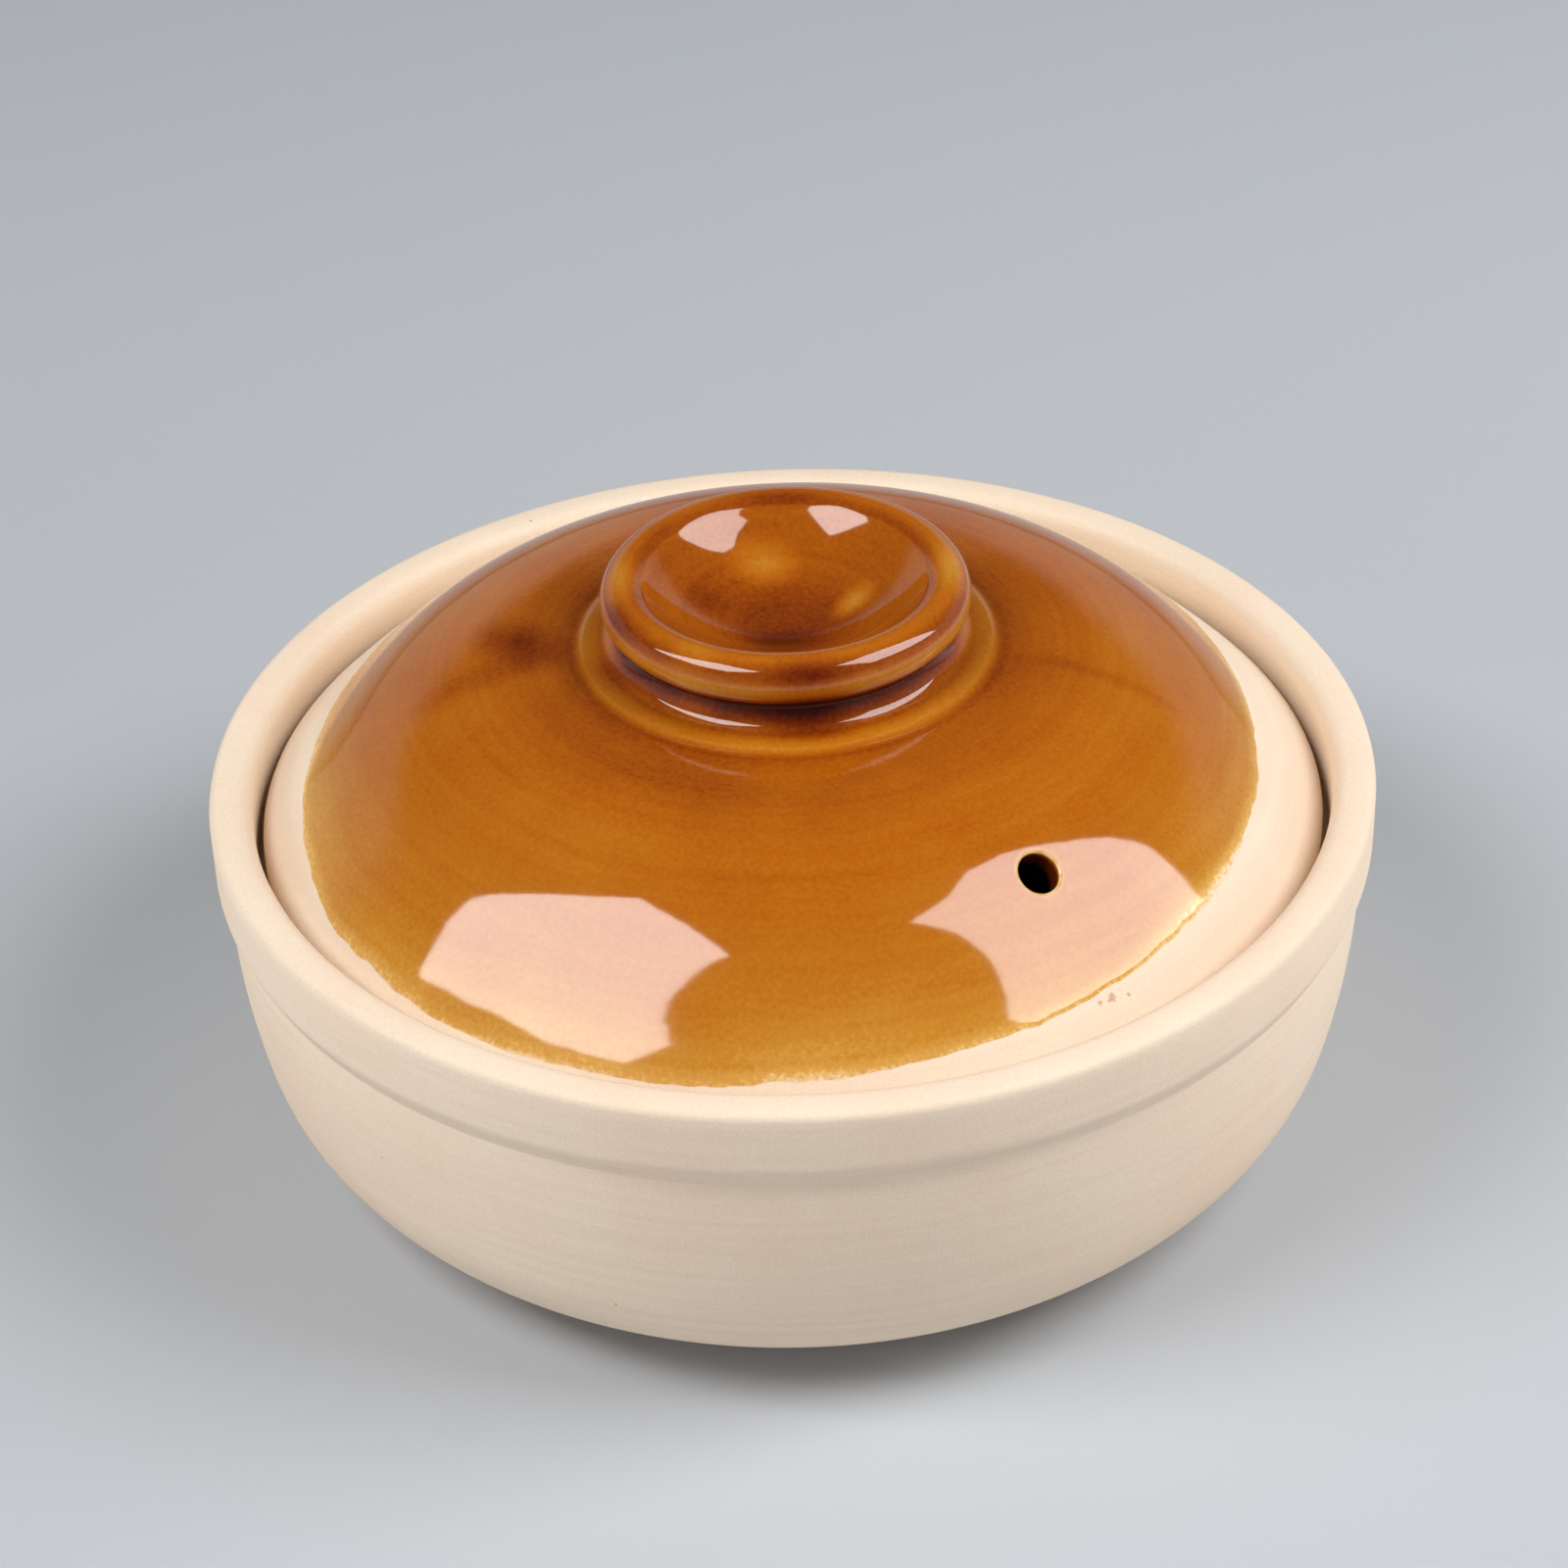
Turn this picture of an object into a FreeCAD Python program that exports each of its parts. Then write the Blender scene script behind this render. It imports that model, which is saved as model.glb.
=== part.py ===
"""A low clay cooking pot with its lid, in millimetres.

The pot is a thrown bowl with an upright band under its rim and a ledge inside
for the lid. The lid is one fired piece with its dished knob, pierced by one
steam hole. The origin is the middle of the base, +Z is up, and the steam hole
is on the -Y side. Each piece is an outline turned about the Z axis.
"""

import FreeCAD, Part
import math
import os

# Rim and band of the pot
rim_radius = 110.0
body_height = 75.0
rim_width = 8.0
rim_outer_rounding = 1.6
rim_inner_rounding = 3.0
band_height = 12.3
step_height = 4.2
step_depth = 1.7
step_rounding = 5.0
groove_rounding = 1.2

# Bowl below the band: an upright wall that leans in, a round belly, a sloping underside
wall_thickness = 7.5
wall_lean = 12.0
wall_lean_height = 43.6
wall_rounding = 142.0
belly_rounding = 35.6
underside_slope = 20.0
base_radius = 74.0
base_rounding = 3.0
floor_thickness = 8.0
floor_rounding = 25.0

# Ledge inside the pot that the lid rests on
ledge_depth = 14.5
ledge_width = 8.0
ledge_thickness = 3.5
ledge_undercut = 40.0
ledge_rounding = 1.2

# Lid
lid_clearance = 1.5
lid_edge_height = 7.4
lid_edge_rounding = 3.0
lid_foot_rounding = 1.2
lid_foot_width = 6.0
lid_thickness = 5.5
border_slope = 42.3
crown_slope = 5.0
shoulder_radius = 67.5
shoulder_rounding = 52.0
ceiling_radius = 24.0
ceiling_rounding = 90.0

# Knob on the lid
foot_radius = 38.15
foot_rise = 0.55
foot_slope = 12.0
foot_rounding = 1.0
foot_margin = 1.2
neck_slope = 47.0
neck_rounding = 6.0
lip_ring_radius = 29.65
lip_rounding = 4.7
lip_rise = 10.0
lip_under_angle = 86.0
dish_rounding = 36.0

# Steam hole through the lid
steam_hole_radius = 4.1
steam_hole_distance = 76.1

turn_axis = FreeCAD.Vector(0, 0, 1)
origin = FreeCAD.Vector(0, 0, 0)


def at(radius, height):
    """A point of an outline, in the plane that is turned about the axis."""
    return FreeCAD.Vector(radius, 0, height)


def towards(angle):
    """The unit direction at an angle in degrees above level, pointing outwards."""
    return at(math.cos(math.radians(angle)), math.sin(math.radians(angle)))


def meet(first, first_angle, second, second_angle):
    """The point where two straight lines of an outline cross."""
    along = towards(first_angle)
    across = towards(second_angle)
    gap = second - first
    turn = along.x * across.z - along.z * across.x
    return first + along * ((gap.x * across.z - gap.z * across.x) / turn)


def rounded(corners):
    """Edges along a list of (point, rounding) corners, each joined by a tangent arc."""
    count = len(corners)
    half_turns = [0.0] * count
    wanted = [0.0] * count
    for i in range(1, count - 1):
        back = corners[i - 1][0] - corners[i][0]
        ahead = corners[i + 1][0] - corners[i][0]
        half_turns[i] = (math.pi - back.getAngle(ahead)) / 2
        wanted[i] = corners[i][1] * math.tan(half_turns[i])

    edges = []
    last = corners[0][0]
    for i in range(1, count - 1):
        corner = corners[i][0]
        back = corners[i - 1][0] - corner
        ahead = corners[i + 1][0] - corner
        room_back = 0.98 * back.Length / (wanted[i - 1] + wanted[i])
        room_ahead = 0.98 * ahead.Length / (wanted[i] + wanted[i + 1])
        reach = wanted[i] * min(1.0, room_back, room_ahead)
        radius = reach / math.tan(half_turns[i])
        start = corner + back.normalize() * reach
        end = corner + ahead.normalize() * reach
        bisector = (back + ahead).normalize()
        middle = corner + bisector * (radius / math.cos(half_turns[i]) - radius)
        edges.append(Part.LineSegment(last, start).toShape())
        edges.append(Part.Arc(start, middle, end).toShape())
        last = end
    edges.append(Part.LineSegment(last, corners[-1][0]).toShape())
    return edges


def turned(edges):
    """The solid that a closed outline makes when it is turned about the axis."""
    wire = Part.Wire(edges)
    solid = Part.Face(wire).revolve(origin, turn_axis, 360)
    return solid if solid.isValid() and solid.Volume > 0 else solid.reversed()


# Heights and radii that follow from the sizes above
mouth_radius = rim_radius - rim_width
body_radius = rim_radius - step_depth
groove_height = body_height - band_height - step_height
ledge_height = body_height - ledge_depth
ledge_radius = mouth_radius - ledge_width

lid_radius = mouth_radius - lid_clearance
lid_edge_top = at(lid_radius, ledge_height + lid_edge_height)
shoulder_corner = at(
    shoulder_radius,
    lid_edge_top.z + (lid_radius - shoulder_radius) * math.tan(math.radians(border_slope)),
)


def crown_height(radius):
    """Height of the lid's gently sloping crown, at a radius inside the shoulder."""
    return shoulder_corner.z + (shoulder_radius - radius) * math.tan(math.radians(crown_slope))


def pot():
    """Bowl with its band, ledge and flat base."""
    base_edge = at(base_radius, 0)
    groove = at(body_radius, groove_height)
    wall_bend = at(body_radius, wall_lean_height)
    belly = meet(base_edge, underside_slope, wall_bend, 90 - wall_lean)

    under_inside = base_edge + towards(underside_slope + 90) * wall_thickness
    wall_inside = wall_bend - towards(-wall_lean) * wall_thickness
    upright_inside = groove - at(wall_thickness, 0)
    floor = at(0, floor_thickness)
    floor_edge = meet(floor, 0, under_inside, underside_slope)
    inner_belly = meet(under_inside, underside_slope, wall_inside, 90 - wall_lean)
    inner_bend = meet(wall_inside, 90 - wall_lean, upright_inside, 90)
    ledge_under = at(ledge_radius, ledge_height - ledge_thickness)
    ledge_root = meet(ledge_under, -ledge_undercut, upright_inside, 90)

    corners = [
        (at(0, 0), 0),
        (base_edge, base_rounding),
        (belly, belly_rounding),
        (wall_bend, wall_rounding),
        (groove, groove_rounding),
        (at(rim_radius, groove_height + step_height), step_rounding),
        (at(rim_radius, body_height), rim_outer_rounding),
        (at(mouth_radius, body_height), rim_inner_rounding),
        (at(mouth_radius, ledge_height), ledge_rounding),
        (at(ledge_radius, ledge_height), ledge_rounding),
        (ledge_under, ledge_rounding),
        (ledge_root, wall_thickness),
        (inner_bend, wall_rounding),
        (inner_belly, belly_rounding - wall_thickness),
        (floor_edge, floor_rounding),
        (floor, 0),
    ]
    edges = rounded(corners)
    edges.append(Part.LineSegment(floor, at(0, 0)).toShape())
    return turned(edges)


def knob_edges():
    """Dish and lip of the knob, from the axis to the top of the neck."""
    lip = at(lip_ring_radius, crown_height(foot_radius) + lip_rise)
    reach = dish_rounding + lip_rounding
    dish_lean = math.degrees(math.asin(lip_ring_radius / reach))
    dish_centre = lip + towards(90 + dish_lean) * reach
    dish_middle = dish_centre - towards(90 + dish_lean / 2) * dish_rounding
    dish_bottom = dish_centre - at(0, dish_rounding)
    dish_end = lip + towards(90 + dish_lean) * lip_rounding
    lip_middle = lip + towards((90 + dish_lean - lip_under_angle) / 2) * lip_rounding
    lip_end = lip + towards(-lip_under_angle) * lip_rounding
    edges = [
        Part.Arc(dish_bottom, dish_middle, dish_end).toShape(),
        Part.Arc(dish_end, lip_middle, lip_end).toShape(),
    ]
    return edges, dish_bottom, lip_end


def lid():
    """Dome with its square edge, dished knob and steam hole."""
    edges, dish_bottom, lip_end = knob_edges()
    foot = at(foot_radius, crown_height(foot_radius) + foot_rise)
    neck = meet(lip_end, -neck_slope, foot, -foot_slope)
    foot_end = at(foot_radius + foot_margin, crown_height(foot_radius + foot_margin))

    border = towards(90 - border_slope) * lid_thickness
    crown = towards(90 - crown_slope) * lid_thickness
    ceiling_shoulder = meet(
        lid_edge_top - border, -border_slope, shoulder_corner - crown, -crown_slope
    )
    ceiling_edge = at(ceiling_radius, 0)
    ceiling_edge = meet(ceiling_edge, 90, shoulder_corner - crown, -crown_slope)
    lid_inner_radius = lid_radius - lid_foot_width
    lid_foot_inner = meet(at(lid_inner_radius, 0), 90, lid_edge_top - border, -border_slope)

    corners = [
        (lip_end, 0),
        (neck, neck_rounding),
        (foot, foot_rounding),
        (foot_end, foot_rounding),
        (shoulder_corner, shoulder_rounding),
        (lid_edge_top, lid_edge_rounding),
        (at(lid_radius, ledge_height), lid_foot_rounding),
        (at(lid_inner_radius, ledge_height), lid_foot_rounding),
        (lid_foot_inner, lid_foot_rounding),
        (ceiling_shoulder, shoulder_rounding - lid_thickness),
        (ceiling_edge, ceiling_rounding),
        (at(0, ceiling_edge.z), 0),
    ]
    edges += rounded(corners)
    edges.append(Part.LineSegment(at(0, ceiling_edge.z), dish_bottom).toShape())
    return turned(edges).cut(steam_hole())


def steam_hole():
    """A round pin along the dome's normal, as a potter's piercing tool leaves it."""
    half_turn = math.radians(border_slope - crown_slope) / 2
    reach = shoulder_rounding * math.tan(half_turn)
    start = shoulder_corner - towards(-crown_slope) * reach
    centre = start - towards(90 - crown_slope) * shoulder_rounding
    lean = math.asin((steam_hole_distance - centre.x) / shoulder_rounding)
    direction = FreeCAD.Vector(0, -math.sin(lean), math.cos(lean))
    inner_end = shoulder_rounding - 2 * lid_thickness
    foot_of_pin = FreeCAD.Vector(0, -centre.x, centre.z) + direction * inner_end
    return Part.makeCylinder(steam_hole_radius, 3 * lid_thickness, foot_of_pin, direction)


def main():
    os.makedirs("parts", exist_ok=True)
    pieces = {"pot": pot(), "lid": lid()}
    for name, solid in pieces.items():
        solid.exportStep(os.path.join("parts", name + ".step"))
        box = solid.optimalBoundingBox()
        print(
            name,
            "valid", solid.isValid(),
            "solids", len(solid.Solids),
            "volume cm3", round(solid.Volume / 1000, 1),
            "radius", round(box.XMax, 2),
            "height", round(box.ZMin, 2), round(box.ZMax, 2),
        )


main()
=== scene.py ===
# %% [markdown]
# A low clay cooking pot with a domed lid.
# The pot is thrown from pale clay and fired bare. The lid is dipped in an amber glaze that
# stops short of its edge, so a border of bare clay shows all round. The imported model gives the
# place and size of both pieces; here each gets the form and the finish of the real one.

# %% The frame and the tools
import math

import bmesh
import bpy
from mathutils import Matrix, Vector, noise


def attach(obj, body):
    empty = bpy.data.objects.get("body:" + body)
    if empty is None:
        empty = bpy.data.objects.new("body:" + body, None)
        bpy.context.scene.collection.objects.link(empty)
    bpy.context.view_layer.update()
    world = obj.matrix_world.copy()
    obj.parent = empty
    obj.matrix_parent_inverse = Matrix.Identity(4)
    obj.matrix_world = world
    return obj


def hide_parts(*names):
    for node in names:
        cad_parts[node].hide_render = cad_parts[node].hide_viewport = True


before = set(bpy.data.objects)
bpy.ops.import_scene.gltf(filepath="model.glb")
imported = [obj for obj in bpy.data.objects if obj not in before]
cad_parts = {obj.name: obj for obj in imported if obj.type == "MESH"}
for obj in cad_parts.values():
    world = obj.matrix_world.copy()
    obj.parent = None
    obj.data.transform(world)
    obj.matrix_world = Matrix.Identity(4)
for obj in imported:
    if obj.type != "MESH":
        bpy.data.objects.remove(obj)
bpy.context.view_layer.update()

MM = 0.001

# %% [markdown]
# All sizes below are in millimetres, as a potter would measure them. They are the sizes of the
# solids, but for a few details that only show up close: the groove is cut a little sharper, the
# neck of the knob is drawn steeper, and the steam hole is narrower by its coat of glaze.
# Heights count from the base that the pot stands on.

# %% Sizes of the pot
BODY_HEIGHT = 75.0
RIM_RADIUS = 110.0
RIM_WIDTH = 8.0
BAND_HEIGHT = 12.3
STEP_HEIGHT = 4.2
STEP_DEPTH = 1.7
WALL = 7.5
FLOOR = 8.0
WALL_LEAN = 12.0
WALL_LEAN_HEIGHT = 43.6
WALL_ROUNDING = 142.0
BELLY_ROUNDING = 35.6
UNDERSIDE_SLOPE = 20.0
BASE_RADIUS = 74.0
LEDGE_DEPTH = 14.5
LEDGE_WIDTH = 8.0
LEDGE_THICKNESS = 3.5
LEDGE_UNDERCUT = 40.0
BASE_ROUNDING = 3.0
GROOVE_CUT, GROOVE_ROUNDING = 0.35, 0.8
STEP_ROUNDING = 5.0
RIM_OUTER_ROUNDING, RIM_INNER_ROUNDING = 1.6, 3.0
SMALL_ROUNDING = 1.2
LEDGE_ROOT_ROUNDING = 2.5
INNER_BEND_ROUNDING = 100.0
FLOOR_ROUNDING = 25.0

MOUTH_RADIUS = RIM_RADIUS - RIM_WIDTH
BODY_RADIUS = RIM_RADIUS - STEP_DEPTH
GROOVE_HEIGHT = BODY_HEIGHT - BAND_HEIGHT - STEP_HEIGHT
LEDGE_HEIGHT = BODY_HEIGHT - LEDGE_DEPTH
LEDGE_RADIUS = MOUTH_RADIUS - LEDGE_WIDTH

# %% Sizes of the lid and its knob
LID_RADIUS = MOUTH_RADIUS - 1.5
LID_EDGE_HEIGHT = 7.4
LID_THICKNESS = 5.5
LID_FOOT_WIDTH = 6.0
LID_EDGE_ROUNDING = 2.2
BORDER_SLOPE = 42.3
CROWN_SLOPE = 5.0
CEILING_RADIUS, CEILING_ROUNDING = 24.0, 90.0
SHOULDER_RADIUS = 67.5
SHOULDER_ROUNDING = 52.0
RIDGE_RADIUS = 38.15
RIDGE_RISE = 0.55
RIDGE_SLOPE, RIDGE_ROUNDING = 9.0, 1.0
RIDGE_MARGIN = 1.4
LIP_RING_RADIUS = 29.65
LIP_ROUNDING = 4.7
LIP_RISE = 10.0
LIP_UNDER_ANGLE = 62.0
UNDERCUT_REACH, UNDERCUT_ROUNDING = 1.55, 0.9
NECK_SLOPE, NECK_ROUNDING = 64.0, 3.4
DISH_ROUNDING = 36.0
HOLE_DISTANCE = 76.1
HOLE_RADIUS = 3.85

# %% [markdown]
# Turned pottery is drawn as half an outline and spun about its axis, as it was on the wheel.
# An outline is drawn like a pencil line: a straight run extrudes the last vertex, and a round
# corner spins it about the centre of the corner. That keeps every arc a true arc.

# %% Drawing an outline
RUN_STEP = 3.0
ARC_STEP = 1.4
WELD = 5e-6


def at(radius, height):
    """A point of an outline, in millimetres, in the X-Z plane."""
    return Vector((radius, 0.0, height))


def towards(angle):
    """The direction at an angle in degrees above level, pointing outwards."""
    return at(math.cos(math.radians(angle)), math.sin(math.radians(angle)))


def meet(first, first_angle, second, second_angle):
    """Where two straight lines of an outline cross."""
    along, across, gap = towards(first_angle), towards(second_angle), second - first
    turn = along.x * across.z - along.z * across.x
    return first + along * ((gap.x * across.z - gap.z * across.x) / turn)


def run_to(mesh, tip, end, step=RUN_STEP):
    """Extrudes the last vertex along a straight line, in even steps."""
    start = tip.co.copy()
    length = (end * MM - start).length
    if length < WELD / 50:
        return tip
    count = max(1, math.ceil(length / (step * MM)))
    for index in range(count):
        tip = bmesh.ops.extrude_vert_indiv(mesh, verts=[tip])["verts"][0]
        tip.co = start.lerp(end * MM, (index + 1) / count)
    return tip


def arc_on(mesh, tip, centre, angle, step=ARC_STEP):
    """Spins the last vertex about a centre; a positive angle turns it clockwise, top outwards."""
    length = abs(angle) * (tip.co - centre * MM).length / MM
    steps = max(3, math.ceil(length / step))
    made = bmesh.ops.spin(mesh, geom=[tip], cent=centre * MM, axis=(0, 1, 0), angle=angle,
                          steps=steps, use_duplicate=False)
    return [v for v in made["geom_last"] if isinstance(v, bmesh.types.BMVert)][0]


def corners_on(mesh, tip, corners, arc_step=ARC_STEP):
    """Runs along (point, rounding) corners and rounds each one with a tangent arc."""
    points = [tip.co / MM] + [point for point, _ in corners]
    roundings = [0.0] + [rounding for _, rounding in corners]
    halves, wanted = [0.0] * len(points), [0.0] * len(points)
    for i in range(1, len(points) - 1):
        back, ahead = points[i - 1] - points[i], points[i + 1] - points[i]
        halves[i] = (math.pi - back.angle(ahead)) / 2
        wanted[i] = roundings[i] * math.tan(halves[i])
    for i in range(1, len(points) - 1):
        back, ahead = points[i - 1] - points[i], points[i + 1] - points[i]
        if wanted[i] < 1e-6:
            tip = run_to(mesh, tip, points[i])
            continue
        room = min(back.length / (wanted[i - 1] + wanted[i]),
                   ahead.length / (wanted[i] + wanted[i + 1]))
        reach = wanted[i] * min(1.0, 0.98 * room)
        radius = reach / math.tan(halves[i])
        tip = run_to(mesh, tip, points[i] + back.normalized() * reach)
        inward = (back.normalized() + ahead.normalized()).normalized()
        centre = points[i] + inward * (radius / math.cos(halves[i]))
        turn = -1 if back.cross(ahead).y > 0 else 1
        tip = arc_on(mesh, tip, centre, turn * 2 * halves[i], arc_step)
    return run_to(mesh, tip, points[-1])


def turn_on_wheel(mesh, steps):
    """Spins the outline a quarter turn, sets four quarters side by side and welds them."""
    outline = mesh.verts[:] + mesh.edges[:]
    bmesh.ops.spin(mesh, geom=outline, cent=(0, 0, 0), axis=(0, 0, 1), angle=math.pi / 2,
                   steps=steps // 4)
    quarter = mesh.verts[:] + mesh.edges[:] + mesh.faces[:]
    for turns in (1, 2, 3):
        copy = bmesh.ops.duplicate(mesh, geom=quarter)["geom"]
        verts = [part for part in copy if isinstance(part, bmesh.types.BMVert)]
        bmesh.ops.rotate(mesh, verts=verts, matrix=Matrix.Rotation(turns * math.pi / 2, 3, "Z"))
    bmesh.ops.remove_doubles(mesh, verts=mesh.verts[:], dist=WELD)
    bmesh.ops.recalc_face_normals(mesh, faces=mesh.faces[:])


def finish_piece(mesh, name, node):
    """Makes a bmesh into a smooth object that stands for a node of the frame."""
    data = bpy.data.meshes.new(name)
    mesh.to_mesh(data)
    mesh.free()
    for polygon in data.polygons:
        polygon.use_smooth = True
    piece = bpy.data.objects.new(name, data)
    bpy.context.collection.objects.link(piece)
    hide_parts(node)
    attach(piece, "root")
    print(name, len(data.vertices), "vertices", len(data.polygons), "faces")
    return piece


# %% [markdown]
# The pot's outline runs from the middle of its base, up the round belly to the groove, over
# the rim, down to the ledge that carries the lid, and back along the inside to the axis.

# %% The pot's outline
WHEEL_STEPS = 360


def pot_corners():
    """Corner points of the pot and the rounding of each, from base to floor."""
    base_edge = at(BASE_RADIUS, 0)
    groove = at(BODY_RADIUS - GROOVE_CUT, GROOVE_HEIGHT)
    wall_bend = at(BODY_RADIUS, WALL_LEAN_HEIGHT)
    belly = meet(base_edge, UNDERSIDE_SLOPE, wall_bend, 90 - WALL_LEAN)
    under_inside = base_edge + towards(UNDERSIDE_SLOPE + 90) * WALL
    wall_inside = wall_bend - towards(-WALL_LEAN) * WALL
    upright_inside = at(BODY_RADIUS - WALL, GROOVE_HEIGHT)
    floor = at(0, FLOOR)
    ledge_under = at(LEDGE_RADIUS, LEDGE_HEIGHT - LEDGE_THICKNESS)
    return [
        (base_edge, BASE_ROUNDING),
        (belly, BELLY_ROUNDING),
        (wall_bend, WALL_ROUNDING),
        (groove, GROOVE_ROUNDING),
        (at(RIM_RADIUS, GROOVE_HEIGHT + STEP_HEIGHT), STEP_ROUNDING),
        (at(RIM_RADIUS, BODY_HEIGHT), RIM_OUTER_ROUNDING),
        (at(MOUTH_RADIUS, BODY_HEIGHT), RIM_INNER_ROUNDING),
        (at(MOUTH_RADIUS, LEDGE_HEIGHT), SMALL_ROUNDING),
        (at(LEDGE_RADIUS, LEDGE_HEIGHT), SMALL_ROUNDING),
        (ledge_under, SMALL_ROUNDING),
        (meet(ledge_under, -LEDGE_UNDERCUT, upright_inside, 90), LEDGE_ROOT_ROUNDING),
        (meet(wall_inside, 90 - WALL_LEAN, upright_inside, 90), INNER_BEND_ROUNDING),
        (meet(under_inside, UNDERSIDE_SLOPE, wall_inside, 90 - WALL_LEAN), BELLY_ROUNDING - WALL),
        (meet(floor, 0, under_inside, UNDERSIDE_SLOPE), FLOOR_ROUNDING),
        (floor, 0),
    ]


pot_mesh = bmesh.new()
corners_on(pot_mesh, pot_mesh.verts.new((0, 0, 0)), pot_corners())
print("pot outline", len(pot_mesh.verts), "points")
turn_on_wheel(pot_mesh, WHEEL_STEPS)

# %% [markdown]
# No thrown pot is a perfect circle: the wall wanders by a few tenths of a millimetre and the
# fingers leave soft rings. Both are moved in the mesh, so that they show in outline and light.

# %% The hand in the clay
POT_WANDER, POT_RINGS, POT_RING_PITCH = 0.22, 0.035, 2.4
WANDER_PACE, RING_PACE = 1.3, 0.35
CALM_RADIUS = 40.0
FOOT_KEPT = 0.6


def thrown(mesh, wander, rings, ring_pitch, foot_height):
    """Moves each vertex above the foot in or out, slowly round the pot and quickly up it."""
    for vert in mesh.verts:
        radius = math.hypot(vert.co.x, vert.co.y)
        if radius < 0.01 * MM or vert.co.z < foot_height * MM:
            continue
        x, y, z = vert.co.x / radius, vert.co.y / radius, vert.co.z / MM
        slow = noise.noise(Vector((x * WANDER_PACE, y * WANDER_PACE, z * 0.02)))
        quick = noise.noise(Vector((x * RING_PACE + 7, y * RING_PACE, z / ring_pitch)))
        shift = (wander * slow + rings * quick) * MM * min(1.0, radius / (CALM_RADIUS * MM))
        vert.co.x += x * shift
        vert.co.y += y * shift


thrown(pot_mesh, POT_WANDER, POT_RINGS, POT_RING_PITCH, FOOT_KEPT)
pot = finish_piece(pot_mesh, "thrown_pot", "pot")

# %% [markdown]
# The lid's dome is nearly flat at the knob, rounds over a shoulder and falls to its border.
# Its slope is what the glossy glaze shows, so the dome is drawn from its slope at a few radii,
# and its height is the sum of those slopes. The border has a faint hollow before it rounds off,
# which bends the lamps' mirror images there.

# %% The dome's slope and height
DOME_SLOPES = [(38.0, 5.0), (50.0, 5.0), (80.0, 40.9), (84.0, 43.3), (87.0, 44.0),
               (90.0, 43.7), (92.5, 42.3), (95.0, 45.0), (98.0, 45.5), (101.0, 45.5)]
DOME_STEP = 0.1

shoulder_height = LEDGE_HEIGHT + LID_EDGE_HEIGHT
shoulder_height += (LID_RADIUS - SHOULDER_RADIUS) * math.tan(math.radians(BORDER_SLOPE))


def crown_height(radius):
    """Height of the gently sloping crown near the knob."""
    return shoulder_height + (SHOULDER_RADIUS - radius) * math.tan(math.radians(CROWN_SLOPE))


def dome_slope(radius):
    """Slope of the dome in degrees at a radius; the shoulder between 50 and 80 is an arc."""
    for (r0, s0), (r1, s1) in zip(DOME_SLOPES, DOME_SLOPES[1:]):
        if radius <= r1:
            share = max(0.0, (radius - r0) / (r1 - r0))
            low, high = math.sin(math.radians(s0)), math.sin(math.radians(s1))
            return math.asin(low + (high - low) * share)
    return math.radians(DOME_SLOPES[-1][1])


DOME_START = DOME_SLOPES[0][0]
dome_table = [crown_height(DOME_START)]
while DOME_START + DOME_STEP * len(dome_table) < LID_RADIUS + 1:
    middle = DOME_START + DOME_STEP * (len(dome_table) - 0.5)
    dome_table.append(dome_table[-1] - DOME_STEP * math.tan(dome_slope(middle)))


def dome_height(radius):
    """Height of the clay dome at a radius, read between the summed steps."""
    place = max(0.0, (radius - DOME_START) / DOME_STEP)
    low = min(int(place), len(dome_table) - 2)
    return dome_table[low] + (dome_table[low + 1] - dome_table[low]) * (place - low)


print("dome height at the border", round(dome_height(LID_RADIUS), 2),
      "against the solid's", round(LEDGE_HEIGHT + LID_EDGE_HEIGHT, 2))

# %% [markdown]
# The glaze is a film of molten glass about a quarter of a millimetre thick. It was poured and
# wiped by hand, so its lower edge is a slow wave round the dome, with a rounded bead. The edge
# is drawn on one ring of the outline, and that ring is later slid along the dome.

# %% The glaze film and its edge
FILM = 0.24
BEAD = 0.9
EDGE_RING = 92.0
SLIDE_FROM, SLIDE_TO = 66.0, 99.3
EDGE_MEAN = 90.27
EDGE_WAVES = [(1, 5.73, -141.0), (2, 1.91, 61.9), (3, 0.70, 139.6)]
EDGE_RIPPLES = [(6, 0.5), (24, 0.34)]


def glaze_edge(angle):
    """Radius of the glaze's lower edge at an angle round the lid."""
    radius = EDGE_MEAN
    for count, size, turn in EDGE_WAVES:
        radius += size * math.cos(count * angle - math.radians(turn))
    place = Vector((math.cos(angle), math.sin(angle), 0.0))
    for pace, size in EDGE_RIPPLES:
        radius += size * noise.noise(place * pace)
    return radius


def film_height(inside):
    """Thickness of the glaze at a distance inside its edge: a rounded bead, then even."""
    if inside <= 0:
        return 0.0
    share = min(1.0, inside / BEAD)
    return FILM * math.sqrt(1 - (1 - share) ** 2)
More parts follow.
